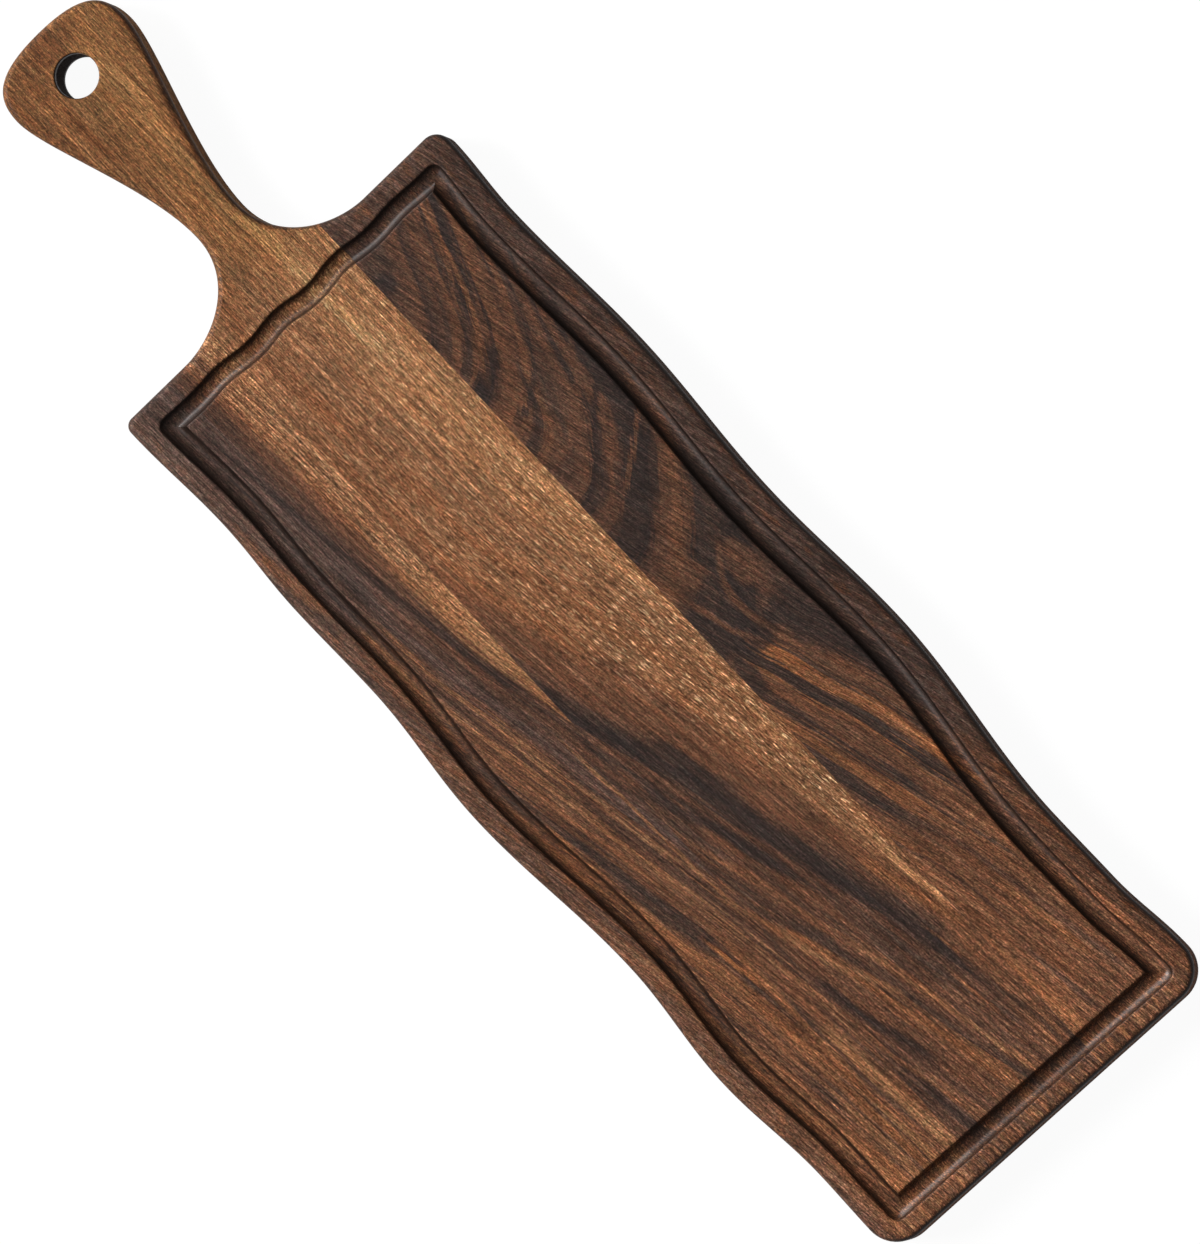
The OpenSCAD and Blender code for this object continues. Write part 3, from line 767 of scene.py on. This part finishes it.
RIGHT_STREAKS = (
    ("coal", 1.5, ((-16, 57), (-22, 52.5), (-30, 48), (-36, 44.5), (-42, 41), (-48, 38),
                   (-56, 35.5))),
    ("cocoa", 1.6, ((-38, 47), (-43, 43), (-48, 40.5), (-54, 39.3), (-60, 39.5), (-67, 41.5))),
    ("cocoa", 1.1, ((-46, 28), (-54, 30), (-60, 31.5), (-65, 34))),
    ("bark", 0.8, ((-146, 22), (-155, 25), (-166, 29), (-180, 31.5), (-195, 33))),
    ("bark", 1.5, ((-146, 33), (-158, 36.5), (-172, 40.5), (-190, 44), (-210, 47.5), (-232, 51))),
    ("umber", 0.7, ((-150, 41), (-165, 45.5), (-180, 50))),
    ("russet", 1.8, ((-186, 40), (-205, 43), (-218, 44.5))),
    ("russet", 2.4, ((-196, 23), (-215, 25), (-238, 27))),
    ("bark", 1.4, ((-206, 31.5), (-222, 33.5), (-240, 35.5))),
    ("rust", 1.4, ((-86, 40), (-98, 43.8), (-110, 47.5), (-120, 50), (-132, 53))),
)
# The same across the right stave's arches, each line as (across, along)
ARCH_STREAKS = (
    ("ink", 2.3, ((23, 56), (30, 58), (36, 63), (42.5, 72.5), (49, 89), (56, 108), (58.5, 118))),
    ("ink", 3.4, ((22, 56.5), (28, 57.5), (34, 60.5))),
    ("umber", 2.2, ((23, 64), (31, 69.5), (37.5, 79), (42.5, 91), (46.7, 106), (49, 118))),
    ("chestnut", 2.8, ((26, 71), (32, 77), (38, 88), (42, 100), (45, 116))),
    ("rust", 2.8, ((33, 66), (40, 76.5), (45.5, 90), (50, 104), (53, 117))),
    ("umber", 2.2, ((24, 72), (29, 78), (36, 91), (39, 103), (41, 116))),
    ("coal", 1.8, ((27, 41.5), (39, 46), (47.5, 56), (54, 69), (58, 81), (61, 92))),
    ("cocoa", 3.0, ((38, 55), (46, 66), (52, 80), (57, 97))),
    ("ink", 1.8, ((23, 5), (30, 7.5), (36, 12), (41, 18), (46, 23.5), (51, 28), (56, 33))),
    ("coal", 4.0, ((22, -18), (30, -13), (40, -9), (50, -1), (56, 5))),
    ("ink", 1.6, ((46, -2), (52, 3.5), (57, 8), (60, 11))),
    ("chestnut", 2.6, ((35, -30), (40, -25), (46, -17), (52, -9), (60, 1))),
    ("cocoa", 1.4, ((38, -1), (44, 3), (50, 8), (56, 13), (60, 16.5))),
    ("cocoa", 2.2, ((28, 22), (38, 26), (48, 34), (57, 46))),
)
# Soft patches of the figure: tone, middle and reach, both as (across, along) in mm
HANDLE_PATCHES = (
    ("rust", (-3, 248), (12, 9)),
)
RIGHT_PATCHES = (
    ("coal", (52, -75), (9, 17)),
    ("coal", (27, -58), (12, 12)),
    ("coal", (26, -76), (5, 11)),
    ("coal", (47, -66), (6, 6)),
    ("cocoa", (50, -46), (6, 12)),
    ("chestnut", (42, -234), (13, 14)),
    ("ink", (37, -69), (8, 6)),
    ("cocoa", (34, -38), (6, 6)),
    ("ink", (26, 107), (5, 6)),
)


class Wood(Finish):
    """Oiled walnut, figured by where a point lies in the board."""

    # How far streaks and patches cover the figure
    COVER = 0.85
    # Where a streak's border starts and ends, as shares of its half width
    BORDER_START, BORDER_END = 0.25, 1.3
    # How far outside and inside the ends of its line a streak fades, in mm
    FADE_OUT, FADE_IN = 8, 4

    def __init__(self, name, colours, seed):
        super().__init__(bpy.data.materials.new(name))
        self.colours = colours
        self.seed = seed
        place = self.node("ShaderNodeTexCoord", output="Object")
        parts = self.node("ShaderNodeSeparateXYZ", None, {0: place})
        x, y, z = (Socket(self, output) / MM for output in parts.output.node.outputs)
        self.across, self.along, self.depth = x, y, cad_box[1].z / MM - z

    def tone(self, name):
        return tuple(getattr(self.colours, name))

    def figure(self, value, tones):
        """Tones laid across a value, by their names in the colours."""
        return self.ramp(value, [(place, self.tone(name)) for place, name in tones])

    def tinted(self, tone, tint):
        return self.mix(1.0, tone, tint, "MULTIPLY")

    def fibres(self, across, width, stretch, detail, step):
        """Noise whose cells lie along the fibres."""
        seed = self.seed + step
        return self.grain(across, self.along, self.depth, width, stretch, detail, seed=seed)

    def ragged(self, value, sway=4.0, fray=11.0):
        """A place across the grain whose lines sway, and are frayed along the fibres."""
        swaying = self.fibres(self.across, width=11, stretch=75, detail=2, step=0)
        frayed = self.fibres(value, width=0.9, stretch=34, detail=3, step=1)
        return value + (swaying - 0.5) * sway + (frayed - 0.5) * fray

    def streaks(self, tone, place, run, lines):
        """Lays streaks on a tone; a place is measured off each line at its place along the run."""
        for name, width, line in lines:
            start, end = min(line)[0], max(line)[0]
            off = abs(place - self.curve(run, line))
            share = 1 - self.smooth(off, self.BORDER_START * width, self.BORDER_END * width)
            share = share * self.smooth(run, start - self.FADE_OUT, start + self.FADE_IN)
            share = share * (1 - self.smooth(run, end - self.FADE_IN, end + self.FADE_OUT))
            share = share * self.COVER
            tone = self.mix(share, tone, self.tone(name))
        return tone

    def distance(self, x, y, wide=1, long=1):
        """Distance from a place on the board, in reaches across and along it."""
        across, along = (self.across - x) / wide, (self.along - y) / long
        return (across * across + along * along).maths("SQRT")

    def patches(self, tone, places):
        """Lays soft patches on a tone, with ragged borders."""
        border = self.fibres(self.across, width=4, stretch=9, detail=3, step=2)
        for name, middle, reach in places:
            off = self.distance(*middle, *reach) + (border - 0.5) * 1.2
            share = (1 - self.smooth(off, 0.45, 1.05)) * self.COVER
            tone = self.mix(share, tone, self.tone(name))
        return tone

    def rim(self, tone, share):
        """Tone of the rim outside the groove, whose patches stand across the figure."""
        patches = self.fibres(self.across, width=3, stretch=9, detail=3, step=5)
        return self.mix(share, tone, self.figure(patches, RIM_TONES))

    def far_rim(self, tone):
        """Tone of the rim at the far end, where the fibres come out in light patches."""
        patches = self.fibres(self.across, width=1.6, stretch=9, detail=3, step=6)
        share = 0.75 - self.smooth(self.along, *FAR_RIM) * 0.75
        return self.mix(share, tone, self.figure(patches, END_TONES))

    def coarser_below(self):
        """Strength of the fine grain, which grows coarser towards the far end."""
        return 1.3 - self.smooth(self.along, *COARSER) * 0.3

    def attribute(self, name):
        return self.node("ShaderNodeAttribute", {"attribute_name": name}, output="Fac")

    def oiled_cuts_and_shade(self, tone, handle, bored):
        """Darkens the cut faces, which drank oil, and paints shade on the faces that turn away from
        the lamps, on the side walls, in the groove and in the hang hole.

        Returns the tone, how much coat the groove's walls that face the lamps get, and where the
        side walls are.
        """
        normal = self.node("ShaderNodeNewGeometry", output="Normal")
        parts = self.node("ShaderNodeSeparateXYZ", None, {0: normal}).output.node.outputs
        right, back, up = (Socket(self, output) for output in parts)
        up = abs(up)
        routed, inner = self.attribute("routed"), self.attribute("inner_wall")
        outer = 1 - inner
        # Cut faces of the outline, darker from oil, with painted shade on the round-overs that face
        # away from the lamps, darkest on the right and at the far end; and the side walls
        steep = 1 - self.smooth(up, *STEEP)
        turned_from_lamps = self.smooth(right * 0.7 - back * 0.7, -0.35, 0.3)
        edge = steep * 0.4 + (1 - self.smooth(up, *ROUNDED)) * turned_from_lamps * 0.6
        side = self.smooth(self.depth, *SIDE_TOP) * (1 - self.smooth(self.depth, *SIDE_FOOT))
        side = side * (1 - routed)
        cut = edge * (1 - routed) * (1 - handle * 0.3) * (1 - side * (1 - bored) * 0.4)
        # The groove, darker from oil and with painted shade on its steep walls and in its depth,
        # less so on the wall that faces the far end
        far = self.smooth(-back, 0.5, 0.9) * inner
        sunk = self.smooth(self.depth, *SUNK) * routed
        cut = cut + steep * routed * 0.56 + sunk * (0.2 + inner * 0.25)
        cut = cut * (1 - far * 0.5)
        # Side walls darker from oil and painted shade, with deeper painted shade in the hang hole
        cut = cut.maths("MAXIMUM", side * (0.4 + bored * 0.52 - handle * 0.05))
        tone = self.mix(cut, tone, self.tone("oil_dark_and_shade"))
        # Painted shade on the groove's walls that face away from the lamps, and darker inner walls;
        # a coat on the walls that face the lamps, for their sheen
        coat_facing_lamps = self.smooth(back * 0.9 - right * 0.45 * outer, 0.12, 0.35) * routed
        shaded = self.smooth(-right, 0.35, 0.75) * outer
        shaded = self.smooth(-back, 0.15, 0.5).maths("MAXIMUM", shaded)
        darkened_and_shaded_walls = (inner - inner * coat_facing_lamps).maths("MAXIMUM", shaded)
        darkened_and_shaded_walls = darkened_and_shaded_walls * routed * (1 - self.smooth(up, *STEEPER))
        # Painted shade on the groove's steepest walls
        crest = (1 - self.smooth(up, *WALL)) * routed
        tone = self.scaled(tone, 1 - darkened_and_shaded_walls.maths("MAXIMUM", crest) * (0.72 - far * 0.3))
        coat_facing_lamps = coat_facing_lamps * self.smooth(up, *SHEEN) * self.smooth(self.depth, *LIP)
        return tone, coat_facing_lamps, side

    def oiled(self, tone, across, fleck=0.0, coarse=1.0, handle=0.0, bored=0.0, gloss=1.0):
        """Lays the fine grain, pores and oil on a figure, with painted shade on its cut faces, and
        closes the material.
        """
        cells = (self.fibres(across, *size) for size in FINE_GRAIN)
        streak, line, dash, speck, pore, light, hue, mottle = cells
        pore = self.smooth(pore, 0.6, 0.72)
        light = self.smooth(light, 0.62, 0.72)
        fine = (line - 0.5) * 3.7 + (dash - 0.5) * (3.2 + fleck * 1.4) + (speck - 0.5) * 3.5
        stops = fine * coarse + (streak - 0.5) * (3.4 - fleck) - pore * 0.7 + light * fleck * 1.2
        stops = stops + self.smooth(self.along, *PALER) * 0.3
        tone = self.tinted(tone, self.mix(self.smooth(hue, 0.35, 0.65), COOL, WARM))
        tone = self.tinted(tone, self.mix(self.smooth(mottle, 0.35, 0.65), GREENER, REDDER))
        tone = self.scaled(tone, self.maths("POWER", 2.0, stops))
        bleached = (self.smooth(stops, 0.0, 1.6) * 0.4 + light) * fleck
        tone = self.mix(bleached, tone, self.tinted(tone, BLEACHED))
        tone, coat_facing_lamps, side = self.oiled_cuts_and_shade(tone, handle, bored)
        relief = (line + dash + speck) * 0.4 - pore * 0.8
        bump = self.node("ShaderNodeBump", None,
                         {"Strength": 0.7, "Distance": 0.15 * MM, "Height": relief})
        roughness = 0.44 + (dash - 0.5) * 0.3 + pore * 0.1 + side * 0.5
        surface = self.node("ShaderNodeBsdfPrincipled", None, {
            "Base Color": tone, "Roughness": roughness, "Specular IOR Level": 0.1,
            "Coat Weight": coat_facing_lamps * gloss, "Coat Roughness": 0.38, "Normal": bump})
        self.node("ShaderNodeOutputMaterial", None, {"Surface": surface})
        return self.owner


def left_wood(colours):
    """Dark heartwood whose inner edge passes into a golden strip at the joint."""
    wood = Wood("Left heartwood", colours, 5.0)
    leaning = wood.across + wood.depth * 0.5
    flowing = leaning - wood.curve(wood.along, LEFT_FLOW)
    ragged = wood.ragged(flowing)
    lower = wood.figure(ragged, LEFT_LOWER_TONES)
    upper = wood.figure(ragged, LEFT_UPPER_TONES)
    tone = wood.mix(wood.smooth(wood.along, *LEFT_FIGURES_MEET), lower, upper)
    tone = wood.streaks(tone, wood.ragged(leaning, 2.0, 3.0), wood.along, LEFT_STREAKS)
    tone = wood.rim(tone, 0.6 - wood.smooth(wood.across, *LEFT_RIM) * 0.6)
    strip = wood.smooth(flowing, -36, -32) * wood.smooth(wood.along, *GOLDEN_STRIP)
    return wood.oiled(wood.far_rim(tone), flowing, strip * 0.5, wood.coarser_below() + strip * 0.3)


def middle_wood(colours, hole):
    """Golden wood, flecked at its right edge, that turns darker in the handle."""
    wood = Wood("Golden wood", colours, 31.0)
    leaning = wood.across + wood.depth * 0.4
    flowing = leaning - wood.curve(wood.along, MIDDLE_FLOW)
    tone = wood.figure(wood.ragged(flowing, 2.5, 9.0), MIDDLE_TONES)
    tone = wood.streaks(tone, wood.ragged(leaning, 1.5, 3.5), wood.along, MIDDLE_STREAKS)
    tone = wood.patches(tone, HANDLE_PATCHES)
    tone = wood.mix(wood.smooth(wood.along, *NECK), tone, wood.tinted(tone, HANDLE_TINT))
    flecked = wood.curve(wood.along, FLECKED) * wood.smooth(flowing, -34, -20)
    # The hang hole's wall, where shade is painted
    bored = 1 - wood.smooth(wood.distance(*(hole / MM)), *HOLE_WALL)
    handle = wood.smooth(wood.along, *HANDLE) * (1 - bored)
    fibres = leaning * 0.55 + flowing * 0.45
    return wood.oiled(wood.far_rim(tone), fibres, flecked, wood.coarser_below(), handle, bored,
                      gloss=0.4)


def right_wood(colours):
    """Figured heartwood: arches in its upper part, and slanting bands below them."""
    wood = Wood("Figured heartwood", colours, 47.0)
    leaning = wood.across + wood.depth * 0.5
    flowing = leaning - wood.curve(wood.along, RIGHT_FLOW)
    steeper = wood.smooth(wood.along, *ARCHES_STEEPEN) * 0.85 + 1
    sunk = wood.along - wood.depth * 0.9
    arched = sunk - wood.curve(wood.across, ARCH_RISE) * steeper
    spread = wood.maths("MINIMUM", wood.across - 23, 12) * wood.smooth(arched, 60, 88)
    arched = arched - spread * 0.8
    sway = wood.grain(arched, wood.across, wood.depth, 7, 30, seed=2.0) - 0.5
    fray = wood.grain(arched, wood.across, wood.depth, 1.1, 14, detail=3, seed=3.0) - 0.5
    upper = wood.figure(arched + sway * 7 + fray * 11, ARCH_TONES)
    upper = wood.streaks(upper, sunk + sway * 4 + fray * 7, wood.across, ARCH_STREAKS)
    lower = wood.figure(wood.ragged(flowing), RIGHT_LOWER_TONES)
    calm = wood.figure(wood.ragged(flowing), RIGHT_FAR_TONES)
    lower = wood.mix(wood.smooth(wood.along, *CALM_FAR_PART) * 0.85, lower, calm)
    starting = wood.smooth(wood.along, *ARCHES_START)
    tone = wood.mix(starting, lower, wood.scaled(upper, 0.95))
    tone = wood.patches(tone, RIGHT_PATCHES)
    tone = wood.streaks(tone, wood.ragged(wood.across, 2.0, 3.0), wood.along, RIGHT_STREAKS)
    upper_rim = wood.smooth(wood.along, *UPPER_RIM)
    rim = wood.smooth(wood.across, *RIGHT_RIM).maths("MAXIMUM", upper_rim)
    tone = wood.rim(tone, rim * 0.75)
    tint = wood.mix(wood.smooth(wood.along, *RIM_TINTS_MEET), FAR_RIM_TINT, NEAR_RIM_TINT)
    share = wood.smooth(wood.across, *RIGHT_RIM_TINT).maths("MAXIMUM", upper_rim * 0.5)
    share = share * (1 - wood.smooth(wood.depth, *TINTED_EDGE) * 0.7)
    tone = wood.mix(share, tone, wood.tinted(tone, tint))
    return wood.oiled(wood.far_rim(tone), flowing, coarse=wood.coarser_below())


def dried_glue(tone):
    """Adhesive that set a little uneven in the joint."""
    finish = Finish(bpy.data.materials.new("Dried glue"))
    place = finish.node("ShaderNodeTexCoord", output="Object")
    mottle = finish.node("ShaderNodeTexNoise", None, {"Vector": place, "Scale": 900.0})
    level = 0.9 + mottle * 0.2
    surface = finish.node("ShaderNodeBsdfPrincipled", None, {
        "Base Color": finish.scaled(tone, level), "Roughness": 0.45 + mottle * 0.1,
        "Specular IOR Level": 0.25})
    finish.node("ShaderNodeOutputMaterial", None, {"Surface": surface})
    return finish.owner


class BOARD_OT_staves(bpy.types.Operator):
    """Rout, saw and bore the blank, and part it into its three staves."""

    bl_idname = "board.staves"
    bl_label = "Make Staves"

    def execute(self, context):
        colours = context.scene.board_colours
        template = Template(context.scene.board_sizes)
        blank = board_blank(template)
        (left, inner_left), (inner_right, right) = template.joint_left, template.joint_right
        add_piece(part_off(blank, right=left), "Left_stave", "left_stave",
                  left_wood(colours))
        add_piece(part_off(blank, inner_left, inner_right), "Handle_stave", "handle_stave",
                  middle_wood(colours, template.hole))
        add_piece(part_off(blank, left=right), "Right_stave", "right_stave",
                  right_wood(colours))
        blank.free()
        return {"FINISHED"}


class BOARD_OT_glue_lines(bpy.types.Operator):
    """Make the films of dried adhesive in the two joints."""

    bl_idname = "board.glue_lines"
    bl_label = "Make Glue Lines"

    def execute(self, context):
        template = Template(context.scene.board_sizes)
        blank = board_blank(template)
        glue = dried_glue(context.scene.board_colours.film)
        add_piece(part_off(blank, *template.joint_left), "Left_glue_line", "glue_line_left",
                  glue)
        add_piece(part_off(blank, *template.joint_right), "Right_glue_line", "glue_line_right",
                  glue)
        blank.free()
        return {"FINISHED"}


# The soft boxes: name, place and width in metres, power in watts
LAMPS = (
    ("Key soft box", (-2.3, 2.3, 2.6), 1.8, 185),
    ("Window soft box", (-0.9, 3.3, 1.5), 3.0, 85),
    ("Fill soft box", (2.6, -2.2, 2.6), 2.6, 6),
)
# The camera: its lens and sensor in mm, how near and far it sees and its place in metres, and
# the directions across and up its picture
LENS, SENSOR = 254.31, 36
NEAR, FAR = 0.1, 30
CAMERA_PLACE = (0.33363, -0.45153, 2.92866)
PICTURE_ACROSS = (0.71661, -0.67386, -0.17994)
PICTURE_UPWARD = (0.68837, 0.72486, 0.02692)
# Half of the floor's width, and how far the floor lies below the board, in metres
FLOOR_REACH = 6
FLOOR_DROP = 0.2 * MM
# Strengths of what the camera sees of the surround and the floor, where 1 is white
WHITE = 1.0
FLOOR_GLOW = 0.95
FLOOR_SHADOW = 0.08
# Strength of the surround's light on the board
SURROUND = 0.1


def soft_lamp(name, place, width, power):
    """A square soft box that faces the middle of the board."""
    data = bpy.data.lights.new(name, "AREA")
    data.shape = "SQUARE"
    data.size = width
    data.energy = power
    lamp = bpy.data.objects.new(name, data)
    bpy.context.collection.objects.link(lamp)
    lamp.location = place
    lamp.rotation_euler = (-lamp.location).to_track_quat("-Z", "Y").to_euler()


def seen_directly(finish):
    """1 for what the camera sees, also in or through something shiny or clear."""
    outputs = finish.node("ShaderNodeLightPath").output.node.outputs
    camera, glossy, clear = (
        Socket(finish, outputs[f"Is {ray} Ray"]) for ray in ("Camera", "Glossy", "Transmission"))
    return camera.maths("MAXIMUM", glossy).maths("MAXIMUM", clear)


def white_light(finish, kind, strength):
    """A background or an emission of plain white light."""
    return finish.node(kind, None, {"Color": (1, 1, 1, 1), "Strength": strength})


class BOARD_OT_stage(bpy.types.Operator):
    """Set up the floor, the soft boxes, the white surround and the camera."""

    bl_idname = "board.stage"
    bl_label = "Set Up Stage"

    def execute(self, context):
        scene = context.scene
        scene.view_settings.view_transform = "Standard"
        self.lay_floor(scene)
        self.hang_lamps(scene)
        self.place_camera(scene)
        return {"FINISHED"}

    def lay_floor(self, scene):
        bm = bmesh.new()
        bmesh.ops.create_grid(bm, x_segments=1, y_segments=1, size=FLOOR_REACH)
        bmesh.ops.translate(bm, verts=bm.verts[:], vec=(0, 0, -FLOOR_DROP))
        mesh = bpy.data.meshes.new("Floor")
        bm.to_mesh(mesh)
        bm.free()
        floor = bpy.data.objects.new("Floor", mesh)
        scene.collection.objects.link(floor)
        finish = Finish(bpy.data.materials.new("Pale floor"))
        tone = opaque(scene.board_colours.floor)
        matt = finish.node("ShaderNodeBsdfDiffuse", None, {"Color": tone})
        dark = opaque([FLOOR_SHADOW] * 3)
        faint = finish.node("ShaderNodeBsdfDiffuse", None, {"Color": dark})
        glow = white_light(finish, "ShaderNodeEmission", FLOOR_GLOW)
        seen = finish.node("ShaderNodeAddShader", None, {0: faint, 1: glow})
        surface = finish.node("ShaderNodeMixShader", None,
                              {0: seen_directly(finish), 1: matt, 2: seen})
        finish.node("ShaderNodeOutputMaterial", None, {"Surface": surface})
        floor.data.materials.append(finish.owner)

    def hang_lamps(self, scene):
        for lamp in LAMPS:
            soft_lamp(*lamp)
        finish = Finish(bpy.data.worlds.new("Studio"))
        scene.world = finish.owner
        dim = white_light(finish, "ShaderNodeBackground", SURROUND)
        white = white_light(finish, "ShaderNodeBackground", WHITE)
        surface = finish.node("ShaderNodeMixShader", None,
                              {0: seen_directly(finish), 1: dim, 2: white})
        finish.node("ShaderNodeOutputWorld", None, {"Surface": surface})

    def place_camera(self, scene):
        data = bpy.data.cameras.new("Camera")
        data.lens = LENS
        data.sensor_width = SENSOR
        data.clip_start = NEAR
        data.clip_end = FAR
        camera = bpy.data.objects.new("Camera", data)
        scene.collection.objects.link(camera)
        across, upward = Vector(PICTURE_ACROSS), Vector(PICTURE_UPWARD)
        axes = Matrix((across, upward, across.cross(upward))).transposed()
        camera.matrix_world = Matrix.LocRotScale(CAMERA_PLACE, axes, None)
        scene.camera = camera


class BOARD_PT_maker(bpy.types.Panel):
    """Sizes, colours and steps of the board."""

    bl_idname = "BOARD_PT_maker"
    bl_label = "Paddle Board"
    bl_space_type = "VIEW_3D"
    bl_region_type = "UI"
    bl_category = "Board"

    def draw(self, context):
        for group in (context.scene.board_sizes, context.scene.board_colours):
            for name in group.__annotations__:
                self.layout.prop(group, name)
        for operator in OPERATORS:
            self.layout.operator(operator.bl_idname)


OPERATORS = (BOARD_OT_staves, BOARD_OT_glue_lines, BOARD_OT_stage)
CLASSES = (BoardSizes, BoardColours, *OPERATORS, BOARD_PT_maker)


def register():
    for cls in CLASSES:
        bpy.utils.register_class(cls)
    bpy.types.Scene.board_sizes = PointerProperty(type=BoardSizes)
    bpy.types.Scene.board_colours = PointerProperty(type=BoardColours)


def unregister():
    del bpy.types.Scene.board_colours
    del bpy.types.Scene.board_sizes
    for cls in reversed(CLASSES):
        bpy.utils.unregister_class(cls)


def main():
    register()
    bpy.ops.board.staves()
    bpy.ops.board.glue_lines()
    bpy.ops.board.stage()
    bpy.context.view_layer.update()


if __name__ == "__main__":
    main()
